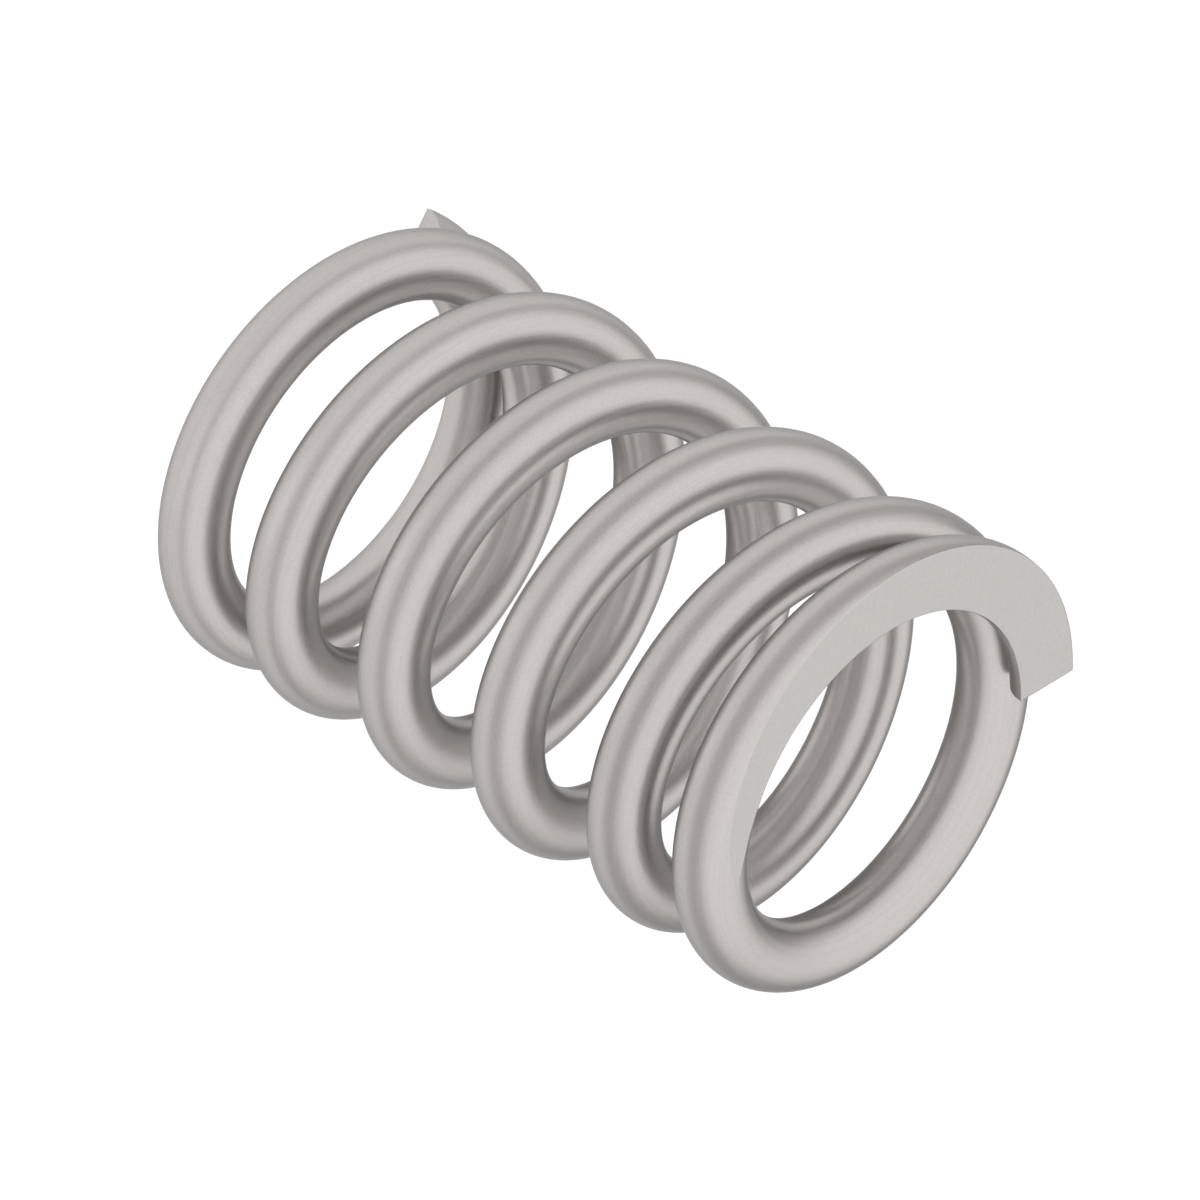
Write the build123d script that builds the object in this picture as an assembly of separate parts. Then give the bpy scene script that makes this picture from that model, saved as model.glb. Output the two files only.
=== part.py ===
from build123d import *
from math import atan, cos, pi, sin, tau
import os

# Compression spring: one round wire wound left-hand, with closed and ground ends.
# Millimetres. The origin lies on the coil's axis, in the lower ground face, and +Z runs up the axis.

# The wire and the coil it is wound to
wire_diameter = 4.5
mean_diameter = 26.5

# The winding. A closed end counts from its tip to the middle of the stretch where the pitch opens.
active_pitch = 10.0
active_turns = 4.145
closed_turns = 1.0
opening_turns = 0.15

# The ends. Each tip lies on the next turn with this gap, and grinding leaves this much of the wire there.
tip_gap = 0.03
tip_thickness = 2.25

# Each opening stretch of the centre line is a curve through this many steps
opening_steps = 4

# Sizes that follow
wire_radius = wire_diameter / 2
mean_radius = mean_diameter / 2
outer_diameter = mean_diameter + wire_diameter
inner_diameter = mean_diameter - wire_diameter
total_turns = active_turns + 2 * closed_turns


def turns_opened(turns, middle):
    """Turns wound at the open pitch so far, for a pitch that opens evenly around the middle given."""
    within = min(max(turns - (middle - opening_turns / 2), 0), opening_turns)
    beyond = max(turns - (middle + opening_turns / 2), 0)
    return within**2 / (2 * opening_turns) + beyond


# The first whole turn climbs just enough for its tip to lie on the next turn:
# one wire, measured square to the slanting turn, and the gap
closed_lead = atan(wire_diameter / (pi * mean_diameter))
first_turn_climb = wire_diameter / cos(closed_lead) + tip_gap
opened_by_then = turns_opened(1, closed_turns)
closed_pitch = (first_turn_climb - active_pitch * opened_by_then) / (1 - opened_by_then)


def climb(turns):
    """Height of the wire's centre above its height at the lower tip."""
    opened = turns_opened(turns, closed_turns) - turns_opened(turns, total_turns - closed_turns)
    return closed_pitch * turns + (active_pitch - closed_pitch) * opened


# Both ground faces lie the same way to the wire's centre at their tips
tip_height = tip_thickness - wire_radius
free_length = climb(total_turns) + 2 * tip_height


def centre(turns):
    """Point of the wire's centre line. Its azimuth falls as it climbs, which makes the coil left-hand."""
    angle = -tau * turns
    return Vector(mean_radius * cos(angle), mean_radius * sin(angle), tip_height + climb(turns))


def even_stretch(start, end):
    """Centre line from one turn count to another where the pitch stays the same: a helix."""
    height = climb(end) - climb(start)
    pitch = height / (end - start)
    helix = Helix(pitch, height, mean_radius, lefthand=True)
    return Pos(0, 0, centre(start).Z) * Rot(0, 0, -360 * start) * helix


def opening_stretch(before, after, start, end):
    """Centre line where the pitch changes, tangent to the helices before and after it."""
    step = (end - start) / opening_steps
    points = [centre(start + step * index) for index in range(opening_steps + 1)]
    return Spline(points, tangents=[before % 1, after % 0])


def centre_line():
    """The whole wire's centre line, from the lower tip to the upper tip."""
    half_opening = opening_turns / 2
    lower_opening = (closed_turns - half_opening, closed_turns + half_opening)
    upper_opening = (total_turns - closed_turns - half_opening, total_turns - closed_turns + half_opening)
    lower_end = even_stretch(0, lower_opening[0])
    active_coils = even_stretch(lower_opening[1], upper_opening[0])
    upper_end = even_stretch(upper_opening[1], total_turns)
    opens = opening_stretch(lower_end, active_coils, *lower_opening)
    closes = opening_stretch(active_coils, upper_end, *upper_opening)
    return Wire([lower_end, opens, active_coils, closes, upper_end])


def wound_wire(path):
    """The round wire before grinding, cut off square at both tips."""
    section = Plane(origin=path @ 0, z_dir=path % 0) * Circle(wire_radius)
    return sweep(section, path=path, is_frenet=True)


def ground_between(wire):
    """The wire with both ends ground flat, square to the axis, one free length apart."""
    kept = Box(2 * outer_diameter, 2 * outer_diameter, free_length, align=(Align.CENTER, Align.CENTER, Align.MIN))
    return wire & kept


path = centre_line()
spring = ground_between(wound_wire(path))

os.makedirs("parts", exist_ok=True)
export_step(spring, "parts/compression_spring.step")

print(f"free length {free_length:.2f}, outer diameter {outer_diameter:.2f}, inner diameter {inner_diameter:.2f}")
print(f"total turns {total_turns:.3f}, closed pitch {closed_pitch:.3f}, wire length {path.length:.1f}")
print(f"volume {spring.volume:.1f}, section times length before grinding {pi * wire_radius**2 * path.length:.1f}")
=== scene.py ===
from math import atan, cos, pi, radians, sin, tau

import bmesh
import bpy
from mathutils import Matrix, Vector


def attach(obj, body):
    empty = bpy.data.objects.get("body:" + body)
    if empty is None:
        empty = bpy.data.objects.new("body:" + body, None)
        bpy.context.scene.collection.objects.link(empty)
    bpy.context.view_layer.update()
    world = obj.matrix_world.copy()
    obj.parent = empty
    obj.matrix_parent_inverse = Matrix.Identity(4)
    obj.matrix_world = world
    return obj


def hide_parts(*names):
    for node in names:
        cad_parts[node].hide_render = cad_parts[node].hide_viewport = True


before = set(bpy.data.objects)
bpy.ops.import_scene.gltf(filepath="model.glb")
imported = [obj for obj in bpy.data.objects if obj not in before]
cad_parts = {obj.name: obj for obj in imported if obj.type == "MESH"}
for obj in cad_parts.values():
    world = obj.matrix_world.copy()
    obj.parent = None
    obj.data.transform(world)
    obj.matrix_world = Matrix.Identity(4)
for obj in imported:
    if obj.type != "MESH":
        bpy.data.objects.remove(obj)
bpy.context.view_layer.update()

# A compression spring standing on its lower ground end. Metres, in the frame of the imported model:
# the origin is on the coil's axis in the lower ground face, and +Z runs up the axis.

# The wire and its winding, as in the solid
WIRE_DIAMETER = 0.0045
MEAN_DIAMETER = 0.0265
ACTIVE_PITCH = 0.010
ACTIVE_TURNS = 4.145
CLOSED_TURNS = 1.0
OPENING_TURNS = 0.15
TIP_GAP = 0.00003
TIP_THICKNESS = 0.00225

# Sizes that follow
WIRE_RADIUS = WIRE_DIAMETER / 2
MEAN_RADIUS = MEAN_DIAMETER / 2
TURN_LENGTH = pi * MEAN_DIAMETER
TOTAL_TURNS = ACTIVE_TURNS + 2 * CLOSED_TURNS


# The wire's centre line

# A short way along the wire, in turns, over which its direction is taken
SHORT_WAY = 1e-4


def turns_opened(turns, middle):
    """Turns wound at the open pitch so far, for a pitch that opens evenly around the middle given."""
    within = min(max(turns - (middle - OPENING_TURNS / 2), 0), OPENING_TURNS)
    beyond = max(turns - (middle + OPENING_TURNS / 2), 0)
    return within**2 / (2 * OPENING_TURNS) + beyond


CLOSED_LEAD = atan(WIRE_DIAMETER / (pi * MEAN_DIAMETER))
FIRST_TURN_CLIMB = WIRE_DIAMETER / cos(CLOSED_LEAD) + TIP_GAP
OPENED_BY_THEN = turns_opened(1, CLOSED_TURNS)
CLOSED_PITCH = (FIRST_TURN_CLIMB - ACTIVE_PITCH * OPENED_BY_THEN) / (1 - OPENED_BY_THEN)


def climb(turns):
    """Height of the wire's centre above its height at the lower tip."""
    opened = turns_opened(turns, CLOSED_TURNS) - turns_opened(turns, TOTAL_TURNS - CLOSED_TURNS)
    return CLOSED_PITCH * turns + (ACTIVE_PITCH - CLOSED_PITCH) * opened


TIP_HEIGHT = TIP_THICKNESS - WIRE_RADIUS
FREE_LENGTH = climb(TOTAL_TURNS) + 2 * TIP_HEIGHT


def centre(turns):
    """Point of the wire's centre line. Its azimuth falls as it climbs, which makes the coil left-hand."""
    angle = -tau * turns
    return Vector((MEAN_RADIUS * cos(angle), MEAN_RADIUS * sin(angle), TIP_HEIGHT + climb(turns)))


def section_axes(turns):
    """Outward and sideways directions of the wire's round section, both square to the centre line."""
    forward = (centre(turns + SHORT_WAY) - centre(turns - SHORT_WAY)).normalized()
    here = centre(turns)
    outward = Vector((here.x, here.y, 0))
    outward = (outward - forward * outward.dot(forward)).normalized()
    return outward, forward.cross(outward)


# The spring's surface

# How finely the wire is divided
RINGS_PER_TURN = 128
FACES_AROUND = 56

# A face of the wire's round skin has four corners, or up to five where it is cut
MOST_SKIN_CORNERS = 5

# An edge is sharp from this angle between its faces
SHARP_ANGLE = radians(25)

CUT_TOLERANCE = 1e-9

# Each point's place on the wire before winding, and the two materials' slots
UNWOUND = "unwound"
WIRE_SLOT = 0
GROUND_SLOT = 1


def round_wire(mesh):
    """Rings of the round wire from tip to tip, joined by faces and closed by a flat end at each tip.
    Each point also keeps its place on the wire before winding, straight along X, for the materials."""
    unwound = mesh.verts.layers.float_vector.new(UNWOUND)
    ring_count = round(TOTAL_TURNS * RINGS_PER_TURN)
    rings = []
    for index in range(ring_count + 1):
        turns = TOTAL_TURNS * index / ring_count
        middle = centre(turns)
        outward, sideways = section_axes(turns)
        ring = []
        for step in range(FACES_AROUND):
            angle = tau * step / FACES_AROUND
            point = mesh.verts.new(middle + WIRE_RADIUS * (cos(angle) * outward + sin(angle) * sideways))
            point[unwound] = (turns * TURN_LENGTH, WIRE_RADIUS * cos(angle), WIRE_RADIUS * sin(angle))
            ring.append(point)
        rings.append(ring)
    for ring, following in zip(rings, rings[1:]):
        for step in range(FACES_AROUND):
            beside = (step + 1) % FACES_AROUND
            mesh.faces.new((ring[step], following[step], following[beside], ring[beside]))
    mesh.faces.new(rings[0])
    mesh.faces.new(reversed(rings[-1]))


def grind(mesh, height, outward):
    """Cuts the wire off flat at a height and closes the cut."""
    everything = [*mesh.verts, *mesh.edges, *mesh.faces]
    plane = {"plane_co": (0, 0, height), "plane_no": outward}
    cut = bmesh.ops.bisect_plane(mesh, geom=everything, dist=CUT_TOLERANCE, clear_outer=True, **plane)
    rim = [edge for edge in cut["geom_cut"] if isinstance(edge, bmesh.types.BMEdge)]
    bmesh.ops.edgeloop_fill(mesh, edges=rim)


def spring_mesh():
    """The ground spring as one closed mesh, smooth round the wire and sharp where it is cut."""
    mesh = bmesh.new()
    round_wire(mesh)
    grind(mesh, 0, (0, 0, -1))
    grind(mesh, FREE_LENGTH, (0, 0, 1))
    bmesh.ops.recalc_face_normals(mesh, faces=mesh.faces)
    for face in mesh.faces:
        face.smooth = len(face.verts) <= MOST_SKIN_CORNERS
        face.material_index = WIRE_SLOT if face.smooth else GROUND_SLOT
    for edge in mesh.edges:
        edge.smooth = edge.calc_face_angle(0) < SHARP_ANGLE
    data = bpy.data.meshes.new("compression_spring_wire")
    mesh.to_mesh(data)
    mesh.free()
    return data


spring = bpy.data.objects.new("spring_wire", spring_mesh())
bpy.context.scene.collection.objects.link(spring)
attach(spring, "root")
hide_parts("compression_spring")


# Materials


def add(tree, kind, inputs=None, **settings):
    """A new node with its settings. Inputs go by name or number, and each is a value or a node's output."""
    made = tree.nodes.new(kind)
    for name, value in settings.items():
        setattr(made, name, value)
    for name, value in (inputs or {}).items():
        if isinstance(value, bpy.types.NodeSocket):
            tree.links.new(value, made.inputs[name])
        else:
            made.inputs[name].default_value = value
    return made


def compare(tree, operation, first, second):
    """One number from two vectors, such as the distance between them."""
    return add(tree, "ShaderNodeVectorMath", {0: first, 1: second}, operation=operation).outputs["Value"]


def change(tree, value, start, end, before, after, **settings):
    """A value that goes from before to after while another goes from start to end."""
    inputs = {"Value": value, "From Min": start, "From Max": end, "To Min": before, "To Max": after}
    return add(tree, "ShaderNodeMapRange", inputs, **settings).outputs["Result"]


# Noise runs from 0 to 1, and nearly all of it lies between these
NOISE_LOW = 0.3
NOISE_HIGH = 0.7


def noise(tree, place, size, detail=2.0):
    """Soft noise from 0 to 1 whose patches have this length, width and depth in metres."""
    inputs = {0: place, 1: [1 / side for side in size]}
    scaled = add(tree, "ShaderNodeVectorMath", inputs, operation="MULTIPLY").outputs["Vector"]
    made = add(tree, "ShaderNodeTexNoise", {"Vector": scaled, "Scale": 1.0, "Detail": detail})
    return made.outputs["Fac"]


def spread(tree, value, low, high):
    """Noise spread over low to high."""
    return change(tree, value, NOISE_LOW, NOISE_HIGH, low, high)


def total(tree, *values):
    """The sum of several outputs."""
    result = values[0]
    for value in values[1:]:
        result = add(tree, "ShaderNodeMath", {0: result, 1: value}, operation="ADD").outputs["Value"]
    return result


def blend(tree, factor, first, second):
    """A colour between two, by a factor from 0 to 1. Each is red, green and blue, or a node's output."""
    inputs = {"Factor": factor}
    for name, colour in (("A", first), ("B", second)):
        inputs[name] = colour if isinstance(colour, bpy.types.NodeSocket) else (*colour, 1)
    return add(tree, "ShaderNodeMix", inputs, data_type="RGBA").outputs["Result"]


MICROMETRE = 1e-6

# What is left of the steel's shine close to its outline
EDGE_SHINE = (0.465, 0.48, 0.488)

# Cut edges are broken to this radius
EDGE_ROUNDING = 0.0001
EDGE_SAMPLES = 6

# An edge is fully worn where the rounded and the flat direction have this cosine. Wear gives it this colour
# and adds this to its roughness.
WORN_COSINE = 0.85
WORN_COLOUR = (0.56, 0.545, 0.53)
WORN_POLISH = -0.06


def broken_edges(tree):
    """The surface's direction with its cut edges slightly broken, and how worn it is there, from 0 to 1."""
    bevel = add(tree, "ShaderNodeBevel", {"Radius": EDGE_ROUNDING}, samples=EDGE_SAMPLES)
    rounded = bevel.outputs["Normal"]
    flat = add(tree, "ShaderNodeNewGeometry").outputs["Normal"]
    alike = compare(tree, "DOT_PRODUCT", rounded, flat)
    return rounded, change(tree, alike, 1.0, WORN_COSINE, 0.0, 1.0)


def steel(name, finish):
    """Bare steel that loses some shine towards its outline and is worn brighter along its cut edges.
    The finish is a function that gives the surface between them its colour, roughness and relief."""
    material = bpy.data.materials.new(name)
    material.use_nodes = True
    tree = material.node_tree
    colour, roughness, relief = finish(tree)
    rounded, worn = broken_edges(tree)
    polish = change(tree, worn, 0.0, 1.0, 0.0, WORN_POLISH)
    bump = add(tree, "ShaderNodeBump", {"Height": relief, "Distance": MICROMETRE, "Normal": rounded})
    shader = tree.nodes["Principled BSDF"]
    shader.inputs["Metallic"].default_value = 1.0
    shader.inputs["Specular Tint"].default_value = (*EDGE_SHINE, 1)
    tree.links.new(blend(tree, worn, colour, WORN_COLOUR), shader.inputs["Base Color"])
    tree.links.new(total(tree, roughness, polish), shader.inputs["Roughness"])
    tree.links.new(bump.outputs["Normal"], shader.inputs["Normal"])
    return material


# The drawn wire's marks. A size is a mark's length along the wire and its widths across it. Tone goes from
# the darker colour at 0 to the lighter at 1, and relief is in micrometres.
LINE_SIZE = (0.04, 0.00018, 0.00018)
LINE_TONE = (0.2, 0.8)
LINE_ROUGHNESS = (0.315, 0.355)
LINE_RELIEF = (0.0, 0.8)
GRAIN_SIZE = (0.00014, 0.00012, 0.00012)
GRAIN_TONE = (-0.4, 0.4)
GRAIN_RELIEF = (0.0, 3.0)
PATCH_SIZE = (0.018, 0.004, 0.004)
PATCH_DETAIL = 3.0
PATCH_TONE = (-0.2, 0.2)
PATCH_ROUGHNESS = (-0.02, 0.02)
WIRE_COLOURS = ((0.475, 0.452, 0.437), (0.525, 0.505, 0.492))


def drawn_wire(tree):
    """Satin steel with the faint lines that drawing leaves along a wire, a fine grain and soft patches."""
    place = add(tree, "ShaderNodeAttribute", attribute_name=UNWOUND).outputs["Vector"]
    lines = noise(tree, place, LINE_SIZE)
    grain = noise(tree, place, GRAIN_SIZE)
    patches = noise(tree, place, PATCH_SIZE, PATCH_DETAIL)
    even_tone = total(tree, spread(tree, lines, *LINE_TONE), spread(tree, patches, *PATCH_TONE))
    tone = total(tree, even_tone, spread(tree, grain, *GRAIN_TONE))
    colour = blend(tree, tone, *WIRE_COLOURS)
    roughness = total(tree, spread(tree, lines, *LINE_ROUGHNESS), spread(tree, patches, *PATCH_ROUGHNESS))
    relief = total(tree, spread(tree, lines, *LINE_RELIEF), spread(tree, grain, *GRAIN_RELIEF))
    return colour, roughness, relief


# The ground ends. The grinding wheel's arcs across them are centred here, one set over the other.
WHEEL_MIDDLES = ((0.11, 0.05, 0), (-0.04, 0.12, 0))
ARC_WIDTH = 0.0002
ARC_DETAIL = 4.0
GROUND_GRAIN = 0.00015
MARK_TONE = (0.0, 0.33)
MARK_RELIEF = (0.0, 1.5)
GROUND_ROUGHNESS = (0.31, 0.41)
GROUND_COLOURS = ((0.446, 0.431, 0.42), (0.544, 0.529, 0.515))


def ground_end(tree):
    """Bare steel with the fine crossing arcs that the grinding wheel leaves."""
    place = add(tree, "ShaderNodeNewGeometry").outputs["Position"]
    arcs = []
    for middle in WHEEL_MIDDLES:
        radius = compare(tree, "DISTANCE", place, middle)
        across = add(tree, "ShaderNodeCombineXYZ", {"X": radius}).outputs["Vector"]
        arcs.append(noise(tree, across, (ARC_WIDTH, 1, 1), ARC_DETAIL))
    grain = noise(tree, place, (GROUND_GRAIN, GROUND_GRAIN, GROUND_GRAIN))
    marks = (*arcs, grain)
    tone = total(tree, *[spread(tree, mark, *MARK_TONE) for mark in marks])
    colour = blend(tree, tone, *GROUND_COLOURS)
    roughness = spread(tree, arcs[0], *GROUND_ROUGHNESS)
    relief = total(tree, *[spread(tree, mark, *MARK_RELIEF) for mark in marks])
    return colour, roughness, relief


spring.data.materials.append(steel("drawn_wire", drawn_wire))
spring.data.materials.append(steel("ground_end", ground_end))


# Floor and light: a pale sheet below a white tent that is darker near the ground and darkest there behind
# the spring. The sheet is no lamp, yet it glows with painted light: an even pool all round the spring that
# is weaker far away, a painted glow under the spring in place of its contact shadow, and a painted bright
# patch beside it that the wire reflects as a highlight

# The floor. Its glows are painted light, and each fades between two distances from its middle.
FLOOR_HALF_WIDTH = 2.0
FLOOR_WHITE = 0.4
FLOOR_ROUGHNESS = 0.9
# Painted light: the floor's glow as a pool round the spring, keeping the floor there white without shade,
# weaker far off
FLOOR_GLOW = 0.60
FLOOR_FAR_GLOW = 0.12
FLOOR_MIDDLE = (-0.009, -0.046, 0)
FLOOR_FADES = (0.096, 0.19)
# Painted light: a glow on the floor under the spring, in place of the shadow the coils cast there
UNDER_GLOW = 0.32
UNDER_GLOW_FADES = (0.010, 0.022)
# Painted light: a bright glowing patch on the floor beside the spring, reflected in the wire as a highlight
SIDE_GLOW = 0.2
SIDE_GLOW_MIDDLE = (-0.012, 0.031, 0)
SIDE_GLOW_FADES = (0.004, 0.016)

# The tent. It brightens between two elevations, and its foot is darker the more it lies backward.
TENT_BRIGHTNESS = 1.24
TENT_FRONT_FOOT = 0.65
TENT_BACK_FOOT = 0.5
TENT_OPENS = (radians(2), radians(26))
BACKWARD = (cos(radians(250)), sin(radians(250)), 0)
BACK_FADES = (0.2, 0.75)


def ease(tree, value, start, end, before, after):
    """As change, with a soft start and end."""
    return change(tree, value, start, end, before, after, interpolation_type="SMOOTHSTEP")


def by_distance(tree, middle, fades, inside, outside):
    """A value that goes from inside to outside with the distance from a point."""
    place = add(tree, "ShaderNodeNewGeometry").outputs["Position"]
    return ease(tree, compare(tree, "DISTANCE", place, middle), *fades, inside, outside)


def floor():
    """A pale sheet under the spring that glows with painted light: a pool round it, more under it and
    beside it.
    """
    half = FLOOR_HALF_WIDTH
    data = bpy.data.meshes.new("floor")
    corners = [(-half, -half, 0), (half, -half, 0), (half, half, 0), (-half, half, 0)]
    data.from_pydata(corners, [], [(0, 1, 2, 3)])
    material = bpy.data.materials.new("floor")
    material.use_nodes = True
    tree = material.node_tree
    shader = tree.nodes["Principled BSDF"]
    shader.inputs["Base Color"].default_value = (FLOOR_WHITE, FLOOR_WHITE, FLOOR_WHITE, 1)
    shader.inputs["Roughness"].default_value = FLOOR_ROUGHNESS
    shader.inputs["Emission Color"].default_value = (1, 1, 1, 1)
    # Painted light: the glowing pool round the spring, weaker far away
    around = by_distance(tree, FLOOR_MIDDLE, FLOOR_FADES, FLOOR_GLOW, FLOOR_FAR_GLOW)
    # Painted light under the spring, where its contact shadow would fall
    under = by_distance(tree, (0, 0, 0), UNDER_GLOW_FADES, UNDER_GLOW, 0.0)
    # Painted light beside the spring, which the wire shows as a highlight
    beside = by_distance(tree, SIDE_GLOW_MIDDLE, SIDE_GLOW_FADES, SIDE_GLOW, 0.0)
    tree.links.new(total(tree, around, under, beside), shader.inputs["Emission Strength"])
    data.materials.append(material)
    piece = bpy.data.objects.new("floor", data)
    bpy.context.scene.collection.objects.link(piece)


def tent():
    """Soft light from all round, less of it from near the ground and least from low behind the spring."""
    world = bpy.data.worlds.new("tent")
    bpy.context.scene.world = world
    world.use_nodes = True
    tree = world.node_tree
    direction = add(tree, "ShaderNodeTexCoord").outputs["Generated"]
    upward = add(tree, "ShaderNodeSeparateXYZ", {"Vector": direction}).outputs["Z"]
    behind = compare(tree, "DOT_PRODUCT", direction, BACKWARD)
    foot = ease(tree, behind, *BACK_FADES, TENT_FRONT_FOOT, TENT_BACK_FOOT)
    opens = ease(tree, upward, sin(TENT_OPENS[0]), sin(TENT_OPENS[1]), foot, TENT_BRIGHTNESS)
    tree.nodes["Background"].inputs["Color"].default_value = (1, 1, 1, 1)
    tree.links.new(opens, tree.nodes["Background"].inputs["Strength"])


floor()
tent()

# The picture looks at the spring's middle from 35 degrees above, with the axis running down to the right
CAMERA_AZIMUTH = radians(81.2)
CAMERA_ELEVATION = radians(35.26)
CAMERA_ROLL = radians(121.3)
CAMERA_DISTANCE = 0.6119
CAMERA_SEES = (0.01, 20.0)
LENS_MM = 300.0
SENSOR_MM = 36.0


def camera():
    """The camera, upright first and then rolled about its line of sight."""
    data = bpy.data.cameras.new("camera")
    data.sensor_width = SENSOR_MM
    data.lens = LENS_MM
    data.clip_start, data.clip_end = CAMERA_SEES
    piece = bpy.data.objects.new("camera", data)
    bpy.context.scene.collection.objects.link(piece)
    level = cos(CAMERA_ELEVATION)
    back = Vector((level * cos(CAMERA_AZIMUTH), level * sin(CAMERA_AZIMUTH), sin(CAMERA_ELEVATION)))
    right = Vector((-sin(CAMERA_AZIMUTH), cos(CAMERA_AZIMUTH), 0))
    up = back.cross(right)
    rolled_right = cos(CAMERA_ROLL) * right + sin(CAMERA_ROLL) * up
    rolled_up = back.cross(rolled_right)
    turn = Matrix((rolled_right, rolled_up, back)).transposed()
    place = Vector((0, 0, FREE_LENGTH / 2)) + CAMERA_DISTANCE * back
    piece.matrix_world = Matrix.Translation(place) @ turn.to_4x4()
    bpy.context.scene.camera = piece


camera()
bpy.context.scene.view_settings.view_transform = "Standard"
